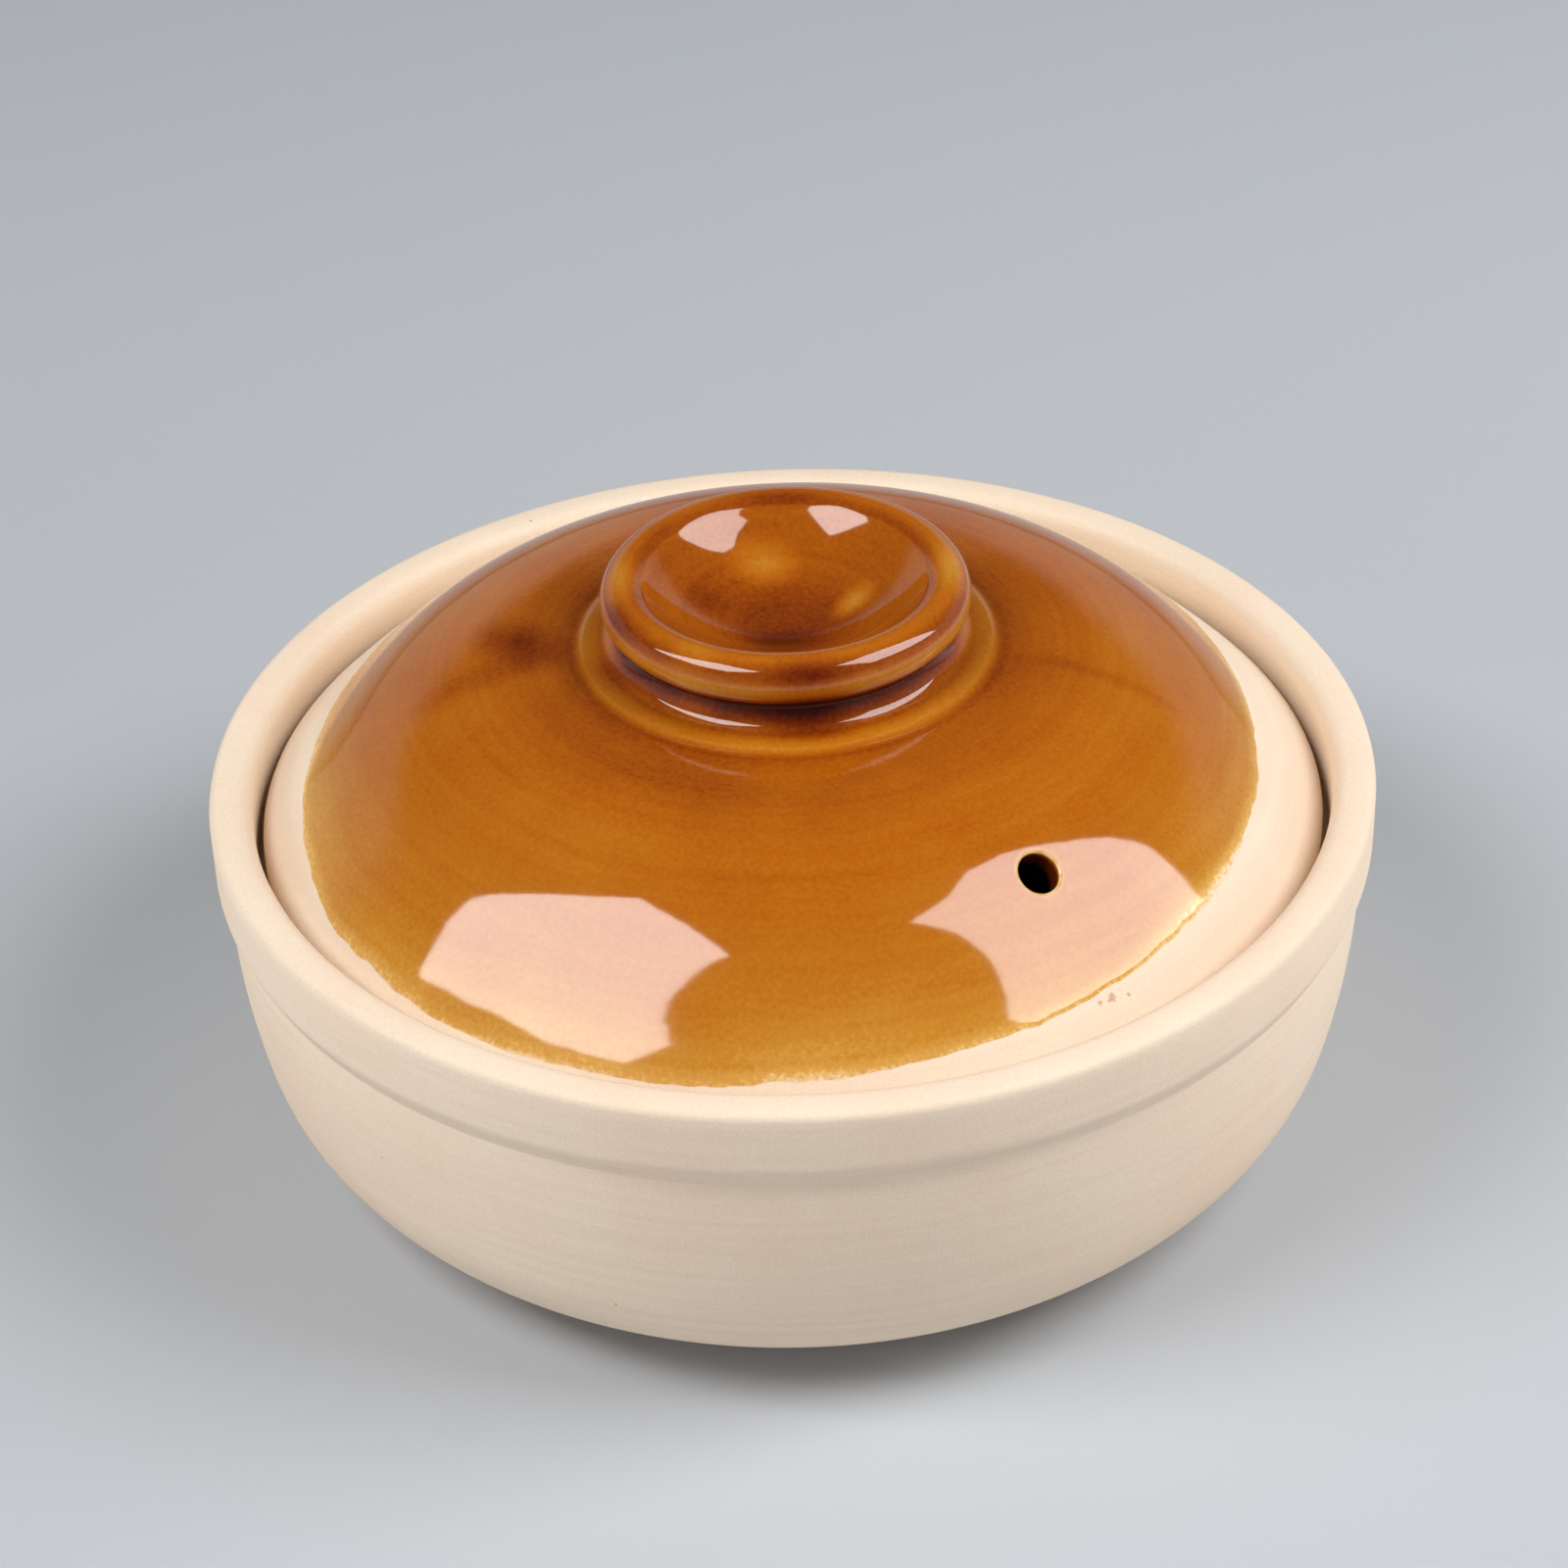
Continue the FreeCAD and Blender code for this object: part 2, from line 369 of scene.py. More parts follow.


# %% [markdown]
# How deep the glaze lies decides its colour: thin and golden on every ridge, lip and edge where
# it drained away, deep red-brown in the hollows where it gathered. In the neck of the knob and on
# the underside of its lip, the darkest colour is also painted shade for the shade under the lip.
# Each vertex of the outline carries that depth, and the spin copies it round the lid. Spots where
# the glaze is made darker or lighter are also listed, each given as its place x and y, its long
# and short reach in millimetres, its turn in degrees and the depth that it adds or takes away.

# %% Where the glaze gathered, with painted shade under the knob's lip
BARE = -1.0
RIDGE_DEPTH = 0.42
DOME_DEPTHS = [(RIDGE_RADIUS, 8, 0.62), (47, 20, 0.51), (70, 18, 0.42), (86, 10, 0.30)]
PATCHES = [
    (-40.0, 30.0, 17.0, 9.0, 100.0, 0.20), (-52.0, 26.0, 24.0, 7.0, 160.0, 0.09),
    (42.0, -44.0, 22.0, 3.0, -50.0, 0.09), (-34.0, 8.0, 12.0, 6.0, 100.0, 0.10),
    (6.0, 16.0, 9.5, 6.5, -34.0, -0.26), (13.0, -3.0, 6.5, 4.5, 10.0, -0.34),
    (-9.0, 13.0, 7.0, 6.0, 30.0, 0.10), (-4.0, -4.5, 13.0, 6.5, -34.0, 0.18),
    (16.0, 23.0, 16.0, 3.6, -34.0, 0.10), (-13.0, -11.0, 8.0, 3.0, -50.0, -0.20),
    (33.0, -86.0, 52.0, 6.0, 21.0, -0.32), (-78.0, 45.0, 52.0, 10.0, 60.0, -0.12),
    (64.7, -62.5, 40.0, 10.0, 46.0, -0.12), (-36.6, -82.0, 40.0, 8.0, -24.0, -0.05),
    (-25.5, 17.2, 12.0, 6.0, 56.0, -0.16), (25.5, -17.2, 12.0, 6.0, 56.0, -0.20),
    (-15.6, -29.8, 12.0, 6.0, -34.0, 0.20), (-29.2, -12.9, 7.0, 5.0, -66.0, -0.12),
]
LIP_CENTRE = at(LIP_RING_RADIUS, crown_height(RIDGE_RADIUS) + LIP_RISE)
DISH_EDGE = LIP_CENTRE.x - LIP_ROUNDING * 0.7
NECK_TOP = LIP_CENTRE.z - LIP_ROUNDING * 0.9


def blend(a, b, share):
    """From a to b, eased at both ends."""
    share = min(1.0, max(0.0, share))
    return a + (b - a) * share * share * (3 - 2 * share)


def patches(place):
    """How much thicker or thinner the glaze is made at a place, by eased round spots."""
    extra = 0.0
    for x, y, long_way, short_way, turn, amount in PATCHES:
        gap = Matrix.Rotation(math.radians(-turn), 2) @ (place.xy - Vector((x, y)))
        extra += amount * blend(1.0, 0.0, math.hypot(gap.x / long_way, gap.y / short_way))
    return extra


def pooled_and_shaded(radius, height):
    """Depth of the glaze, from 0 where it is thinnest to 1 where it gathered thickest; under the
    knob's lip the dark end is also painted shade.
    """
    if radius > RIDGE_RADIUS:
        depth = 0.70
        for start, reach, level in DOME_DEPTHS:
            depth = blend(depth, level, (radius - start) / reach)
        return blend(RIDGE_DEPTH, depth, (radius - RIDGE_RADIUS) / 2.2)
    if radius < DISH_EDGE:
        return blend(0.80, 0.60, radius / DISH_EDGE)
    # The neck under the lip is drawn darkest: thick glaze gathered there, and painted shade under
    # the lip.
    if height < NECK_TOP:
        depth = blend(1.0, 0.62, (NECK_TOP - height) / 5)
        return blend(depth, 0.40, (radius - 34.5) / 3.4)
    # The lip darkens towards its underside: thick glaze gathered there, and painted shade under
    # the lip.
    turn = math.degrees(math.atan2(height - LIP_CENTRE.z, radius - LIP_CENTRE.x))
    depth = blend(0.52, 0.70, abs(turn - 80) / 45)
    depth = blend(0.30, depth, abs(turn + 5) / 40)
    return blend(1.0, depth, (turn + 80) / 40)


# %% [markdown]
# The lid's outline starts in the dish of the knob, rolls over the thick lip, tucks in under it,
# flares out to a soft ridge and meets the dome. After the border it turns down to the foot that
# stands on the pot's ledge and comes back along the underside to the axis.

# %% The knob's outline
DISH_STEP, LIP_STEP, NECK_STEP = 0.8, 0.5, 0.4


def draw_knob(mesh):
    """Dish, lip and neck of the knob; returns the last vertex and its radius, on the dome."""
    lean = math.asin(LIP_RING_RADIUS / (DISH_ROUNDING + LIP_ROUNDING))
    dish_centre = LIP_CENTRE + towards(90 + math.degrees(lean)) * (DISH_ROUNDING + LIP_ROUNDING)
    tip = mesh.verts.new((dish_centre - at(0, DISH_ROUNDING)) * MM)
    tip = arc_on(mesh, tip, dish_centre, -lean, DISH_STEP)
    tip = arc_on(mesh, tip, LIP_CENTRE, lean + math.radians(90 + LIP_UNDER_ANGLE), LIP_STEP)
    undercut = at(LIP_RING_RADIUS + UNDERCUT_REACH, LIP_CENTRE.z - LIP_ROUNDING)
    ridge = at(RIDGE_RADIUS, crown_height(RIDGE_RADIUS) + RIDGE_RISE)
    neck = meet(undercut, -NECK_SLOPE, ridge, -RIDGE_SLOPE)
    ridge_end = at(RIDGE_RADIUS + RIDGE_MARGIN, dome_height(RIDGE_RADIUS + RIDGE_MARGIN))
    corners = [(undercut, UNDERCUT_ROUNDING), (neck, NECK_ROUNDING), (ridge, RIDGE_ROUNDING),
               (ridge_end, 0)]
    return corners_on(mesh, tip, corners, NECK_STEP), ridge_end.x


# %% The lid's outline
TOP_SKIN, EDGE_SKIN = 2.5, 1.0
DOME_RUN, BEAD_RUN = 1.1, 0.14
BEAD_REACH = 1.4
BORDER_END = 2.6


def draw_lid(mesh):
    """The whole outline of the lid, with finer steps at the bead of the glaze."""
    tip, radius = draw_knob(mesh)
    while radius < LID_RADIUS - BORDER_END:
        radius += BEAD_RUN if abs(radius - EDGE_RING) < BEAD_REACH else DOME_RUN
        height = dome_height(radius) + film_height(EDGE_RING - radius)
        tip = run_to(mesh, tip, at(radius, height))
    top = at(LID_RADIUS, dome_height(LID_RADIUS))
    inner = LID_RADIUS - LID_FOOT_WIDTH
    border = towards(90 - BORDER_SLOPE) * LID_THICKNESS
    crown = towards(90 - CROWN_SLOPE) * LID_THICKNESS
    edge = at(LID_RADIUS, LEDGE_HEIGHT + LID_EDGE_HEIGHT)
    shoulder = at(SHOULDER_RADIUS, shoulder_height)
    ceiling_edge = meet(at(CEILING_RADIUS, 0), 90, shoulder - crown, -CROWN_SLOPE)
    corners = [
        (top, LID_EDGE_ROUNDING),
        (at(LID_RADIUS, LEDGE_HEIGHT), SMALL_ROUNDING),
        (at(inner, LEDGE_HEIGHT), SMALL_ROUNDING),
        (meet(at(inner, 0), 90, edge - border, -BORDER_SLOPE), SMALL_ROUNDING),
        (meet(edge - border, -BORDER_SLOPE, shoulder - crown, -CROWN_SLOPE),
         SHOULDER_ROUNDING - LID_THICKNESS),
        (ceiling_edge, CEILING_ROUNDING),
        (at(0, ceiling_edge.z), 0),
    ]
    corners_on(mesh, tip, corners)


def on_top(radius, height):
    """True for the upper skin of the lid, False for its underside and its upright edge."""
    dome = dome_height(min(max(radius, DOME_START), LID_RADIUS))
    return height > dome - TOP_SKIN and radius < LID_RADIUS - EDGE_SKIN


lid_mesh = bmesh.new()
depth_and_shade_layer = lid_mesh.verts.layers.float.new("glaze_depth_and_shade")
edge_layer = lid_mesh.verts.layers.float.new("from_edge")
draw_lid(lid_mesh)
for vert in lid_mesh.verts:
    radius, height = vert.co.x / MM, vert.co.z / MM
    vert[depth_and_shade_layer] = pooled_and_shaded(radius, height) if on_top(radius, height) else BARE
print("lid outline", len(lid_mesh.verts), "points")
turn_on_wheel(lid_mesh, WHEEL_STEPS)

# %% [markdown]
# Now the glaze's edge is slid to its wave. A vertex on the dome moves outwards or inwards along
# the dome, most at the edge's ring and not at all at the shoulder and the rounded border.

# %% Sliding the glaze edge
def slid(radius, angle):
    """New radius of a vertex on the dome."""
    shift = glaze_edge(angle) - EDGE_RING
    if radius < EDGE_RING:
        return radius + shift * max(0.0, (radius - SLIDE_FROM) / (EDGE_RING - SLIDE_FROM))
    return radius + shift * max(0.0, (SLIDE_TO - radius) / (SLIDE_TO - EDGE_RING))


CLAY, GLAZE = 0, 1
for face in lid_mesh.faces:
    centre = face.calc_center_median()
    radius = math.hypot(centre.x, centre.y) / MM
    dipped = min(v[depth_and_shade_layer] for v in face.verts) >= 0 and radius < EDGE_RING
    face.material_index = GLAZE if dipped else CLAY
for vert in lid_mesh.verts:
    radius, angle = math.hypot(vert.co.x, vert.co.y) / MM, math.atan2(vert.co.y, vert.co.x)
    vert[edge_layer] = EDGE_RING - radius
    if vert[depth_and_shade_layer] >= 0 and radius > SLIDE_FROM:
        moved = slid(radius, angle)
        height = vert.co.z / MM - dome_height(radius) + dome_height(moved)
        vert[edge_layer] = glaze_edge(angle) - moved
        vert[depth_and_shade_layer] = pooled_and_shaded(moved, height)
        vert.co = Vector((math.cos(angle) * moved, math.sin(angle) * moved, height)) * MM
for vert in lid_mesh.verts:
    if vert[depth_and_shade_layer] >= 0:
        vert[depth_and_shade_layer] = max(0.0, vert[depth_and_shade_layer] + patches(vert.co / MM))
print("glaze edge between", round(min(glaze_edge(a / 50) for a in range(315)), 1), "and",
      round(max(glaze_edge(a / 50) for a in range(315)), 1), "mm from the axis")

# %% [markdown]
# The steam hole was pushed through the wet clay square to the dome, and the glaze drew back into
# a soft pale roll round its mouth. A disc with a rounded mouth is spun about the hole's own
# axis, laid on the dome, and bridged into a patch that is cut out of the wheel-turned mesh.
# The glaze is thinnest, so palest, on the roll; down the bore it is drawn darkest, as thick glaze
# and as painted shade inside the hole.

# %% The steam hole's profile
HOLE_LEAN = dome_slope(HOLE_DISTANCE)
HOLE_AXIS = Vector((0, -math.sin(HOLE_LEAN), math.cos(HOLE_LEAN)))
HOLE_MOUTH = Vector((0, -HOLE_DISTANCE, dome_height(HOLE_DISTANCE) + FILM))
HOLE_ROLL = 0.6
ROLL_STEPS = 10
HOLE_STEPS = 64
RINGS_ON_DOME = (4.2, 3.6, 3.0, 2.4, 1.9, 1.4, 1.0, HOLE_ROLL)
RINGS_IN_BORE = (1.5, 2.1, 2.9, 3.9, 5.0)


def hole_profile():
    """Points from the edge of the patch, over the rolled mouth and down the bore."""
    points = [(HOLE_RADIUS + gap, 0.0) for gap in RINGS_ON_DOME]
    for step in range(1, ROLL_STEPS + 1):
        angle = math.pi / 2 * step / ROLL_STEPS
        points.append((HOLE_RADIUS + HOLE_ROLL * (1 - math.sin(angle)),
                       HOLE_ROLL * (1 - math.cos(angle))))
    points += [(HOLE_RADIUS, down) for down in RINGS_IN_BORE]
    return [HOLE_MOUTH + Vector((away, 0, 0)) - HOLE_AXIS * down for away, down in points]


def spin_hole(mesh):
    """Draws the profile and spins it about the hole's own axis; returns the new vertices."""
    start, *points = hole_profile()
    profile = [mesh.verts.new(start * MM)]
    for point in points:
        profile.append(run_to(mesh, profile[-1], point, 50))
    edges = list({edge for vert in profile for edge in vert.link_edges})
    old = set(mesh.verts) - set(profile)
    bmesh.ops.spin(mesh, geom=profile + edges, cent=HOLE_MOUTH * MM, axis=HOLE_AXIS,
                   angle=2 * math.pi, steps=HOLE_STEPS, use_merge=True)
    return [vert for vert in mesh.verts if vert not in old]


# %% Cutting room for it and laying it on the dome
PATCH_REACH, UNDER_REACH = 5.2, 2.5
BORE_FROM, MOUTH_DEPTH = 2.0, 1.3


def cut_patch(mesh, centre, reach, outer):
    """Removes the faces round a point of the outer or inner skin; returns the open edges."""
    patch = []
    for face in mesh.faces:
        gap = face.calc_center_median() / MM - centre
        if gap.length < reach * 1.3 and (face.verts[0][depth_and_shade_layer] >= 0) == outer:
            if (gap - HOLE_AXIS * gap.dot(HOLE_AXIS)).length < reach:
                patch.append(face)
    bmesh.ops.delete(mesh, geom=patch, context="FACES")
    return [edge for edge in mesh.edges if edge.is_boundary]


def on_dome(place):
    """A point moved along the hole's axis onto the glazed dome."""
    low, high = -3.0, 3.0
    for _ in range(24):
        middle = (low + high) / 2
        probe = place + HOLE_AXIS * middle
        above = probe.z > dome_height(math.hypot(probe.x, probe.y)) + FILM
        low, high = (low, middle) if above else (middle, high)
    return place + HOLE_AXIS * low


def down_of(vert):
    """How far a vertex lies down the hole from its mouth."""
    return -(vert.co / MM - HOLE_MOUTH).dot(HOLE_AXIS)


patch_loop = cut_patch(lid_mesh, HOLE_MOUTH, HOLE_RADIUS + PATCH_REACH, True)
hole_verts = spin_hole(lid_mesh)
hole_set = set(hole_verts)
rims = [edge for edge in lid_mesh.edges if edge.is_boundary and edge.verts[0] in hole_set]
disc_loop = [edge for edge in rims if down_of(edge.verts[0]) < BORE_FROM]
bore_loop = [edge for edge in rims if down_of(edge.verts[0]) > BORE_FROM]
for vert in hole_verts:
    gap = vert.co / MM - HOLE_MOUTH
    down = down_of(vert)
    away = (gap + HOLE_AXIS * down).length - HOLE_RADIUS
    open_air = pooled_and_shaded(math.hypot(vert.co.x, vert.co.y) / MM, vert.co.z / MM)
    thin = blend(0.0, 16.0, (away - 0.15) / 1.5)
    # Down the bore both values go to their dark end, so the bore takes the darkest glaze: thick
    # glaze, and painted shade inside the hole.
    vert[edge_layer] = blend(thin, 4.0, (down - 0.3) / 0.4)
    vert[depth_and_shade_layer] = blend(open_air * blend(0.3, 1.0, away / 0.9), 1.0, (down - 0.3) / 0.7)
    if down < MOUTH_DEPTH:
        flat = vert.co / MM + HOLE_AXIS * down
        vert.co = (on_dome(flat) - HOLE_AXIS * down) * MM

# %% Joining it to both skins of the lid
joined = set(bmesh.ops.bridge_loops(lid_mesh, edges=disc_loop + patch_loop)["faces"])
under_mouth = HOLE_MOUTH - HOLE_AXIS * (LID_THICKNESS + FILM)
under_loop = cut_patch(lid_mesh, under_mouth, HOLE_RADIUS + UNDER_REACH, False)
under_loop = [edge for edge in under_loop if edge not in bore_loop]
bmesh.ops.bridge_loops(lid_mesh, edges=bore_loop + under_loop)
for face in lid_mesh.faces:
    if face in joined or all(vert in hole_set for vert in face.verts):
        face.material_index = GLAZE
bmesh.ops.recalc_face_normals(lid_mesh, faces=lid_mesh.faces[:])
print("steam hole", len(hole_verts), "vertices; edges of the patches", len(patch_loop),
      len(under_loop), "; open edges left", sum(edge.is_boundary for edge in lid_mesh.edges))

# %% The hand in the lid
LID_WANDER, LID_RINGS, LID_RING_PITCH = 0.10, 0.012, 3.0
thrown(lid_mesh, LID_WANDER, LID_RINGS, LID_RING_PITCH, LEDGE_HEIGHT + FOOT_KEPT)
lid = finish_piece(lid_mesh, "glazed_lid", "lid")

# %% [markdown]
# Materials are small node trees. Every colour is given as the hex value a painter would mix and
# turned to linear light by one function, and one function adds each node.

# %% Colour and node helpers
def colour(hex_value):
    """An sRGB hex colour as linear light."""
    parts = [int(hex_value[i:i + 2], 16) / 255 for i in (1, 3, 5)]
    linear = [p / 12.92 if p <= 0.04045 else ((p + 0.055) / 1.055) ** 2.4 for p in parts]
    return (*linear, 1.0)


def add_node(tree, kind, inputs=None, **settings):
    """Adds a node, sets its settings, and gives each input a value or a link."""
    node = tree.nodes.new(kind)
    for name, value in settings.items():
        setattr(node, name, value)
    for name, value in (inputs or {}).items():
        if isinstance(value, bpy.types.NodeSocket):
            tree.links.new(value, node.inputs[name])
        else:
            node.inputs[name].default_value = value
    return node


def new_material(name):
    """An empty material with its output, its shader and Object coordinates."""
    material = bpy.data.materials.new(name)
    material.use_nodes = True
    tree = material.node_tree
    tree.nodes.clear()
    shader = add_node(tree, "ShaderNodeBsdfPrincipled")
    add_node(tree, "ShaderNodeOutputMaterial", {"Surface": shader.outputs[0]})
    place = add_node(tree, "ShaderNodeTexCoord").outputs["Object"]
    return material, tree, shader, place


def ramp_node(tree, value, stops):
    """A colour ramp through (place, hex colour) stops."""
    node = add_node(tree, "ShaderNodeValToRGB", {"Fac": value})
    elements = node.color_ramp.elements
    while len(elements) < len(stops):
        elements.new(0.5)
    for element, (place, tone) in zip(elements, stops):
        element.position = place
        element.color = colour(tone)
    return node.outputs["Color"]


# %% [markdown]
# Bisque: pale clay fired once and left bare. It is chalky and has no shine. The wheel leaves
# fine level lines, the kiln leaves faint peach clouds, and iron in the clay leaves a few specks.
# A few small scars on the lid's border are given by place x and y and by size in millimetres,
# and the grain makes their outlines ragged.

# %% Bisque clay
CLOUD_SIZE, LINE_PITCH, GRAIN_SIZE, SPECK_SPACING = 38 * MM, 1.6 * MM, 0.45 * MM, 7.5 * MM
SCARS = [(-0.9, -94.5, 0.45), (1.7, -94.5, 0.75), (0.9, -94.8, 0.40), (5.0, -95.0, 0.35)]


def bisque_clay():
    """Unglazed fired clay, cream with peach clouds, turning lines, grain and iron specks."""
    material, tree, shader, place = new_material("bisque_clay")
    clouds = add_node(tree, "ShaderNodeTexNoise", {"Vector": place, "Scale": 1 / CLOUD_SIZE,
                      "Detail": 3.0, "Roughness": 0.55}).outputs["Fac"]
    tone = ramp_node(tree, clouds, [(0.34, "#F6E3CC"), (0.52, "#F6E0C8"), (0.72, "#F5DCC3")])
    stretched = add_node(tree, "ShaderNodeMapping", {"Vector": place, "Scale": (0.03, 0.03, 1.0)})
    lines = add_node(tree, "ShaderNodeTexNoise", {"Vector": stretched.outputs[0],
                     "Scale": 1 / LINE_PITCH, "Detail": 4.0, "Roughness": 0.6}).outputs["Fac"]
    grain = add_node(tree, "ShaderNodeTexNoise", {"Vector": place, "Scale": 1 / GRAIN_SIZE,
                     "Detail": 3.0, "Roughness": 0.7}).outputs["Fac"]
    line_tone = ramp_node(tree, lines, [(0.30, "#F8F8F8"), (0.70, "#FFFFFF")])
    tone = add_node(tree, "ShaderNodeMix", {"Factor": 1.0, 6: tone, 7: line_tone},
                    data_type="RGBA", blend_type="MULTIPLY").outputs[2]
    grain_tone = ramp_node(tree, grain, [(0.30, "#F6F3EF"), (0.60, "#FFFFFF")])
    tone = add_node(tree, "ShaderNodeMix", {"Factor": 1.0, 6: tone, 7: grain_tone},
                    data_type="RGBA", blend_type="MULTIPLY").outputs[2]
    dots = add_node(tree, "ShaderNodeTexVoronoi", {"Vector": place, "Scale": 1 / SPECK_SPACING})
    small = add_node(tree, "ShaderNodeMapRange", {"Value": dots.outputs["Distance"],
                     "From Min": 0.030, "From Max": 0.045, "To Min": 1.0, "To Max": 0.0})
    apart = add_node(tree, "ShaderNodeSeparateColor", {"Color": dots.outputs["Color"]})
    chosen = add_node(tree, "ShaderNodeMath", {0: apart.outputs[0], 1: 0.86},
                      operation="GREATER_THAN")
    speck = add_node(tree, "ShaderNodeMath", {0: small.outputs[0], 1: chosen.outputs[0]},
                     operation="MULTIPLY")
    tone = add_node(tree, "ShaderNodeMix", {"Factor": speck.outputs[0], 6: tone,
                    7: colour("#8A6248")}, data_type="RGBA").outputs[2]
    for x, y, size in SCARS:
        scar = Vector((x, y, dome_height(math.hypot(x, y)))) * MM
        gap = add_node(tree, "ShaderNodeVectorMath", {0: place, 1: scar}, operation="DISTANCE")
        ragged = add_node(tree, "ShaderNodeMath", {0: grain, 1: 1.4 * MM,
                          2: gap.outputs["Value"]}, operation="MULTIPLY_ADD").outputs[0]
        mark = add_node(tree, "ShaderNodeMapRange", {"Value": ragged,
                        "From Min": (size + 0.55) * MM, "From Max": (size + 0.85) * MM,
                        "To Min": 0.55, "To Max": 0.0}).outputs[0]
        tone = add_node(tree, "ShaderNodeMix", {"Factor": mark, 6: tone,
                        7: colour("#B4713F")}, data_type="RGBA").outputs[2]
    height = add_node(tree, "ShaderNodeMath", {0: lines, 1: 0.7, 2: grain},
                      operation="MULTIPLY_ADD")
    bump = add_node(tree, "ShaderNodeBump", {"Height": height.outputs[0], "Strength": 0.35,
                    "Distance": 0.10 * MM})
    tree.links.new(tone, shader.inputs["Base Color"])
    tree.links.new(bump.outputs[0], shader.inputs["Normal"])
    shader.inputs["Roughness"].default_value = 0.88
    shader.inputs["IOR"].default_value = 1.45
    shader.inputs["Specular IOR Level"].default_value = 0.30
    return material


# %% [markdown]
# Amber glaze: a clear iron glaze over pale clay. Thin glaze is straw yellow, thick glaze is
# red-brown, and the wheel's lines and the brush show in it as faint rings. It is as smooth as
# glass, so it mirrors the lamps sharply. The colours below go from the thinnest to the thickest,
# and the glaze thins out over the last millimetres before its edge.

# %% Amber glaze
GLAZE_STOPS = [(0.00, "#F7E3C8"), (0.06, "#EDC584"), (0.12, "#DAA450"), (0.28, "#C4852D"),
               (0.42, "#B86E19"), (0.55, "#AD5C0E"), (0.70, "#91420A"), (0.85, "#6A2507"),
               (1.00, "#3F0E04")]
BEAD_WIDTH, THIN_WIDTH = 2.2, 14.0
GLAZE_RING_PITCH, GLAZE_GRAIN, GLAZE_CLOUD = 2.2 * MM, 0.9 * MM, 26 * MM
GLAZE_SPECK_SPACING, GLAZE_SWELL = 9 * MM, 9 * MM
RING_SHARE, GRAIN_SHARE, CLOUD_SHARE = 0.16, 0.24, 0.22


